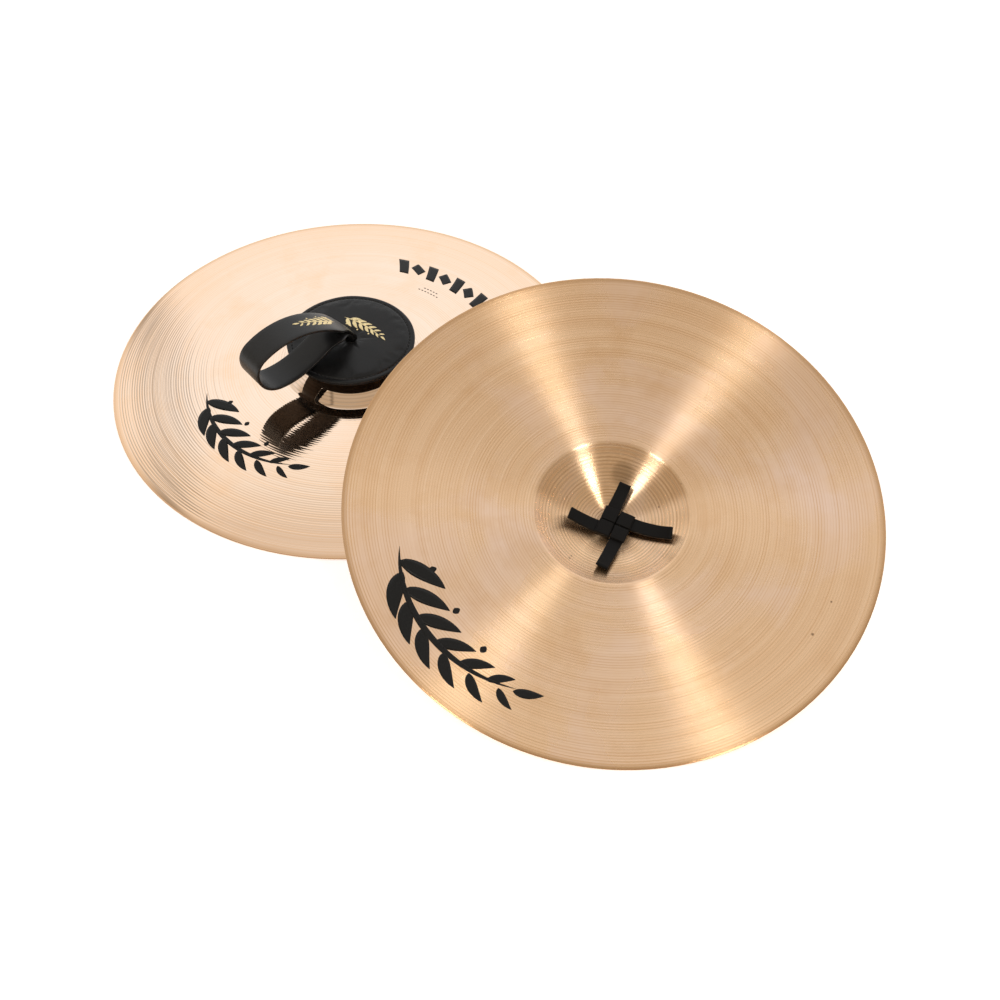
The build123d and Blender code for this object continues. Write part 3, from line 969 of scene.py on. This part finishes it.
def strap_frame(line, strap_angle, roll):
    """Centres, laterals and normals of a strap from its (reach, height) line."""
    line = np.array(line)
    tangent = np.gradient(line, axis=0)
    tangent /= np.linalg.norm(tangent, axis=1)[:, None]
    out, side = unit(strap_angle), unit(strap_angle - 90)
    centres = line[:, :1] * out + line[:, 1:] * UP + UP * HINGE_Z
    normals = -tangent[:, 1:] * out + tangent[:, :1] * UP
    t = np.linspace(0, 1, len(line))
    twist = roll * np.sin(2 * math.pi * t) * np.sin(math.pi * t)
    return centres, *rolled(side, normals, twist)


def make_strap(prefix, place, strap_angle, base, points, roll):
    """A strap through its loop's (reach, height) points; gives places on its outer face."""
    base = math.radians(base)
    lead = heading(base)
    over = np.array([-lead[1], lead[0]]) * PLY
    foot = lead * LOOP_START
    loop = arcs([foot + over, *points, foot - over], base)
    up, down = math.pi / 2, -math.pi / 2
    bottom = KNOT_ROOT_TOP - HINGE_Z - NECK_IN_ROOT
    rise = [np.array([-NECK_LINE, h]) for h in np.linspace(bottom, -0.8, 9)]
    fall = [np.array([NECK_LINE, h]) for h in np.linspace(-1.2, bottom, 9)]
    line = rise + bend(rise[-1], up, loop[0], base) + loop
    line += bend(loop[-1], base + math.pi, fall[0], down) + fall
    frames = strap_frame(line, strap_angle, math.radians(roll))
    halves = [strap_half_width(p[0]) if p[1] > -1.0 or p[0] > 8 else NECK_HALF for p in line]
    strip = sweep(*frames, halves, [STRAP_HALF_THICKNESS] * len(line), 0.55)
    made = make_solid(f"{prefix}_strap", strip, place, STRAP_LEATHER)
    axis = unit(strap_angle) * math.cos(BEND_LINE) + UP * math.sin(BEND_LINE)
    ends = [place @ Vector((UP * HINGE_Z + axis * d) * MM) for d in BEND_REACH]
    tuple(ends[0])
    tuple(ends[1])
    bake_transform(made)
    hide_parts(f"{prefix}_strap_loop", f"{prefix}_strap_neck")
    steps = np.linalg.norm(np.diff(frames[0], axis=0), axis=1)
    along = np.concatenate([[0], np.cumsum(steps)])

    def face(u, v, lift):
        """A point of the strap's outer face, from the way along it and across it."""
        centre, lateral, normal = (
            np.array([np.interp(u, along, part[:, i]) for i in range(3)]) for part in frames
        )
        return centre + lateral * v + normal * (STRAP_HALF_THICKNESS + lift)

    return face


# ---- knots -------------------------------------
ROOT_SIZE = 17.0
ROOT_HEIGHT = 4.9
TAIL_THICKNESS = 2.9
FOLD_SIZE, FOLD_GAP, FOLD_THICKNESS = 13.6, 0.3, 3.0
TAIL_START_HALF, TAIL_ROOT_HALF, TAIL_TIP_HALF = 6.5, 5.8, 5.3
TAIL_START_ROWS, TAIL_ROWS = 6, 26
TAIL_BEND_START = 9.0
TAIL_LENGTHS = (50.0, 38.0, 40.0, 47.0)
TAIL_SLOPES = (19.0, 17.0, 15.0, 18.0)
TAIL_TURNS = (0.0, -3.0, 3.0, -3.0)


def cushion(middle, level, sizes, fullness, thinnest, lean=0.0, crown=0.0):
    """A square block of folded leather, rounded towards its ends in X."""
    reach, width, thickness = sizes
    xs = np.cos(np.linspace(math.pi, 0, 15))
    path = np.array([(middle + reach * x, middle, level) for x in xs])
    lateral = np.array([0, math.cos(lean), math.sin(lean)])
    normal = np.array([0, -math.sin(lean), math.cos(lean)])
    thick = np.maximum((1 - np.abs(xs) ** fullness) ** 0.5, thinnest) * thickness
    n = len(xs)
    return sweep(path, [lateral] * n, [normal] * n, np.full(n, width), thick, 0.9, crown)


def tail_shells(length, slope, twist, sway, rng):
    """Free end, fold and root quarter of one tail, running along +X beside the X axis."""
    centre = (FOLD_GAP + FOLD_SIZE) / 2
    top = KNOT_ROOT_TOP - ROOT_HEIGHT
    middle = top - TAIL_THICKNESS / 2
    slope = math.radians(slope)
    reach = length - TAIL_BEND_START
    path, tilt = [], []
    for x in np.linspace(FOLD_GAP + 0.4, TAIL_BEND_START, TAIL_START_ROWS)[:-1]:
        path.append((x, centre, middle))
        tilt.append(0.0)
    for t in np.linspace(0, 1, TAIL_ROWS):
        chord = reach * math.sin(slope * t) / math.sin(slope)
        x, drop = TAIL_BEND_START + chord * math.cos(slope * t), chord * math.sin(slope * t)
        path.append((x, centre + sway * t * t, middle - drop))
        tilt.append(math.radians(twist) * t**1.3)
    path = np.array(path)
    tangent = np.gradient(path, axis=0)
    tangent /= np.linalg.norm(tangent, axis=1)[:, None]
    side = np.cross(UP, tangent)
    side /= np.linalg.norm(side, axis=1)[:, None]
    lateral, normal = rolled(side, np.cross(tangent, side), np.array(tilt))
    t = np.clip((path[:, 0] - FOLD_SIZE) / (length - FOLD_SIZE), 0, 1)
    halves = TAIL_ROOT_HALF + (TAIL_TIP_HALF - TAIL_ROOT_HALF) * t
    halves[:TAIL_START_ROWS] = np.linspace(TAIL_START_HALF, TAIL_ROOT_HALF, TAIL_START_ROWS)
    heights = np.full(len(path), TAIL_THICKNESS / 2 - 0.1)
    strip = sweep(path, lateral, normal, halves, heights, 0.45, crown=0.08)

    lean = math.radians(rng.uniform(-2.5, 2.5))
    low = top - TAIL_THICKNESS - FOLD_THICKNESS / 2 + 0.15
    half, quarter = (FOLD_SIZE - FOLD_GAP) / 2, ROOT_SIZE / 4
    sizes = (half, half - 0.05, FOLD_THICKNESS / 2 - 0.05)
    fold = cushion(centre, low, sizes, 5, 0.12, lean, 0.12)
    sizes = (quarter - 0.2, quarter - 0.2, ROOT_HEIGHT / 2 - 0.05)
    root = cushion(quarter, top + ROOT_HEIGHT / 2, sizes, 7, 0.2)
    return [strip, fold, root]


def swung(points, angle, middle=(0.0, 0.0)):
    """Points turned about a line along Z."""
    c, s = math.cos(math.radians(angle)), math.sin(math.radians(angle))
    x, y = points[:, 0] - middle[0], points[:, 1] - middle[1]
    return np.stack([x * c - y * s + middle[0], x * s + y * c + middle[1], points[:, 2]], -1)


def make_knot(prefix, place, angle, turn, shift, twists, sways, seed):
    """The four tails of a knot; turn is the way round in which each lies on the next."""
    rng = np.random.default_rng(seed)
    middle = ((FOLD_GAP + FOLD_SIZE) / 2,) * 2
    tails = zip(TAIL_LENGTHS, TAIL_SLOPES, TAIL_TURNS, twists, sways)
    for number, (length, slope, own_turn, twist, sway) in enumerate(tails):
        placed = []
        for part, (points, faces) in enumerate(tail_shells(length, slope, twist, sway, rng)):
            if part == 0:
                points = swung(points, own_turn, middle)
            points = swung(points * (1, turn, 1), angle + turn * 90 * number)
            if part < 2:
                points[:, :2] += shift
            placed.append((points, faces))
        made = make_solid(f"{prefix}_tail_{number + 1}", merge(placed), place, KNOT_LEATHER)
        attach(made, f"{prefix}_strap")
        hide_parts(f"{prefix}_knot_tail_{number + 1}")


# ---- materials ---------------------------------
BRILLIANT = bronze(
    "bronze_brilliant",
    bright=(1.0, 0.81, 0.66),
    deep=(0.97, 0.63, 0.38),
    stain=(1.0, 0.74, 0.56),
    rough=0.05,
    grooves=0.05,
    anisotropy=0.5,
    lines=0.22,
    valleys=0.6,
    tint=0.9,
    worn=False,
)
SATIN = bronze(
    "bronze_satin",
    bright=(0.97, 0.695, 0.46),
    deep=(0.76, 0.46, 0.235),
    stain=(1.0, 0.77, 0.64),
    rough=0.27,
    grooves=1.15,
    anisotropy=1.0,
    lines=0.45,
    valleys=0.9,
    tint=0.25,
    worn=True,
)
PLATE_INK = ink("plate_ink", (0.006, 0.006, 0.006), 0.0, 0.28, 0.2)
GOLD_FOIL = ink("gold_foil", (0.93, 0.76, 0.42), 1.0, 0.34)
DYED, STRAP_DYED = (0.004, 0.004, 0.0045), (0.006, 0.006, 0.0065)
PAD_LEATHER_SKIN = leather(
    "pad_leather_skin", DYED, (0.012, 0.011, 0.0115), 0.33, 0.4, 850.0, 0.26
)
KNOT_LEATHER = leather("knot_leather_skin", DYED, (0.010, 0.009, 0.009), 0.55, 0.3, 1300.0, 0.14)
STRAP_LEATHER = leather(
    "strap_leather_skin", STRAP_DYED, (0.016, 0.014, 0.014), 0.35, 0.42, 800.0, 0.40
)
RAW_LEATHER = leather(
    "raw_leather_skin", (0.012, 0.011, 0.011), (0.03, 0.027, 0.025), 0.6, 0.4, 1900.0
)
BLACK_THREAD = thread_material("black_thread", (0.012, 0.012, 0.013))


# ---- world -------------------------------------
WORLD_STRENGTH = 1.03
WORLD_LEVELS = (  # place from front to back, colour; the ramp's own two stops come first
    (0.0, (0.49, 0.42, 0.33)),
    (1.0, (1.0, 1.0, 1.0)),
    (0.2, (0.83, 0.80, 0.77)),
    (0.38, (0.72, 0.67, 0.61)),
    (0.48, (0.94, 0.90, 0.84)),
    (0.62, (1.0, 1.0, 1.0)),
)
GAP_PLACE, GAP_WIDTH, GAP_SHADE = 0.385, 0.05, 0.52


def build_world():
    """A white studio, plain to the camera. What it lights and mirrors is brighter behind the
    pair and dimmer in front, with one narrow dim gap."""
    world = bpy.data.worlds.new("studio")
    bpy.context.scene.world = world
    world.use_nodes = True
    s = Nodes(world.node_tree)
    sky = s.node("ShaderNodeTexCoord").outputs["Generated"]
    way = s.node("ShaderNodeSeparateXYZ", {0: sky})
    ramp = s.node("ShaderNodeValToRGB", {0: way.outputs["Y"]})
    ramp.color_ramp.interpolation = "EASE"
    for k, (place, level) in enumerate(WORLD_LEVELS):
        stop = ramp.color_ramp.elements[k] if k < 2 else ramp.color_ramp.elements.new(place)
        stop.position = place
        stop.color = (*level, 1)
    apart = s.math("ABSOLUTE", s.math("ADD", way.outputs["X"], GAP_PLACE))
    gap = s.spread(apart, 0.0, GAP_WIDTH, GAP_SHADE, 1.0, smooth=True)
    strength = s.math("MULTIPLY", gap, WORLD_STRENGTH)
    studio = s.node("ShaderNodeBackground", {"Color": ramp.outputs[0], "Strength": strength})
    plain = s.node("ShaderNodeBackground", {"Color": (1, 1, 1, 1)})
    by_camera = s.node("ShaderNodeLightPath").outputs["Is Camera Ray"]
    values = {0: by_camera, 1: studio.outputs[0], 2: plain.outputs[0]}
    seen = s.node("ShaderNodeMixShader", values)
    s.node("ShaderNodeOutputWorld", {0: seen.outputs[0]})


# ---- the scene ---------------------------------
FLOOR_RADIUS, FLOOR_DEPTH = 4000.0, 2.0
REAR_PAD_DROP, FRONT_PAD_DROP = 0.3, 4.6
REAR_STRAP_ANGLE, FRONT_STRAP_ANGLE = 218.4, -72.0
REAR_LOOP_BASE, FRONT_LOOP_BASE = 57.0, 6.0
REAR_KNOT_ANGLE, FRONT_KNOT_ANGLE = 33.0, 26.6
REAR_KNOT_SHIFT, FRONT_KNOT_SHIFT = (0.0, 0.0), (3.5, 6.0)
REAR_TWISTS, FRONT_TWISTS = (0, 4, -4, 3), (-26, 4, -3, 5)
REAR_SWAYS, FRONT_SWAYS = (0.3, 0.4, 0.2, 0.3), (0.8, 0.4, 0.2, 0.5)
BAND_ANGLE = 53.5
PAD_MARK_REACH, STRAP_MARK_START = 19.0, 62.0

REAR_LOOP = (
    (40.0, 37.4),
    (76.0, 43.9),
    (101.0, 37.0),
    (110.0, 23.0),
    (87.0, -3.6),
    (62.0, -1.6),
    (34.0, 9.5),
    (12.0, 9.6),
)
FRONT_LOOP = (
    (22.0, 5.6),
    (60.0, 17.4),
    (96.0, 25.6),
    (117.0, 9.6),
    (98.0, -8.2),
    (60.0, -3.9),
    (20.0, -0.7),
)

bpy.context.scene.view_settings.view_transform = "Standard"
add_camera()
build_world()
key_left = add_softbox("key_left", (-0.30, -0.375, 0.877), size=0.24, power=3.8)
key_right = add_softbox("key_right", (0.367, -0.445, 0.817), size=0.22, power=3.9)

slab = [(1.0, 0.0), (FLOOR_RADIUS, 0.0), (FLOOR_RADIUS, -FLOOR_DEPTH), (1.0, -FLOOR_DEPTH)]
floor = make_solid("studio_floor", lathe(slab, 48), Matrix.Identity(4), floor_material())

make_plate("rear_plate", "rear_cymbal_plate", "rear_cymbal", REAR, 5)
make_plate("front_plate", "front_cymbal_plate", "front_cymbal", FRONT, 6)

pad_heights = {
    "rear": make_pad("rear", REAR, REAR_PAD_DROP, 21),
    "front": make_pad("front", FRONT, FRONT_PAD_DROP, 31),
}
strap_faces = {
    "rear": make_strap("rear", REAR, REAR_STRAP_ANGLE, REAR_LOOP_BASE, REAR_LOOP, 2.0),
    "front": make_strap("front", FRONT, FRONT_STRAP_ANGLE, FRONT_LOOP_BASE, FRONT_LOOP, 1.0),
}
make_knot("rear", REAR, REAR_KNOT_ANGLE, 1, REAR_KNOT_SHIFT, REAR_TWISTS, REAR_SWAYS, 41)
make_knot("front", FRONT, FRONT_KNOT_ANGLE, -1, FRONT_KNOT_SHIFT, FRONT_TWISTS, FRONT_SWAYS, 42)

front_mark = [(sprig(1.62), on_plate(inside, -1, 190.0, 144.0))]
rear_mark = [(sprig(1.30), on_plate(outside, 1, 146.0, -138.0))]
rear_band = [
    (blocks(1.08), on_plate(outside, -1, 152.0, BAND_ANGLE)),
    (dashes(5), on_plate(outside, -1, 127.0, BAND_ANGLE)),
    (dashes(7), on_plate(outside, -1, 122.5, BAND_ANGLE)),
]
for name, groups, place, body in (
    ("front_mark", front_mark, FRONT, "front_cymbal"),
    ("rear_mark", rear_mark, REAR, "rear_cymbal"),
    ("rear_band", rear_band, REAR, "rear_cymbal"),
):
    make_ornament(name, groups, PRINT_DEPTH, place, PLATE_INK, body)

for prefix, place, angle in (("rear", REAR, -38.6), ("front", FRONT, 31.0)):
    x, y, _ = unit(angle + 90) * PAD_MARK_REACH
    mark = [(sprig(0.44, -1), on_pad(pad_heights[prefix], x, y, angle))]
    name, body = f"{prefix}_pad_mark", f"{prefix}_pad"
    make_ornament(name, mark, FOIL_DEPTH, place, GOLD_FOIL, body)
    face = strap_faces[prefix]
    mark = [(sprig(0.42), lambda u, v, lift: face(STRAP_MARK_START + u, v, lift))]
    name, body = f"{prefix}_strap_mark", f"{prefix}_loop"
    make_ornament(name, mark, FOIL_DEPTH, place, GOLD_FOIL, body)

# The two lamps light everything but the rear plate, whose bell would mirror them.
lit = bpy.data.collections.new("lit_by_keys")
for item in bpy.context.scene.objects:
    if item.type == "MESH" and item.name != "rear_plate":
        lit.objects.link(item)
for lamp in (key_left, key_right):
    lamp.light_linking.receiver_collection = lit
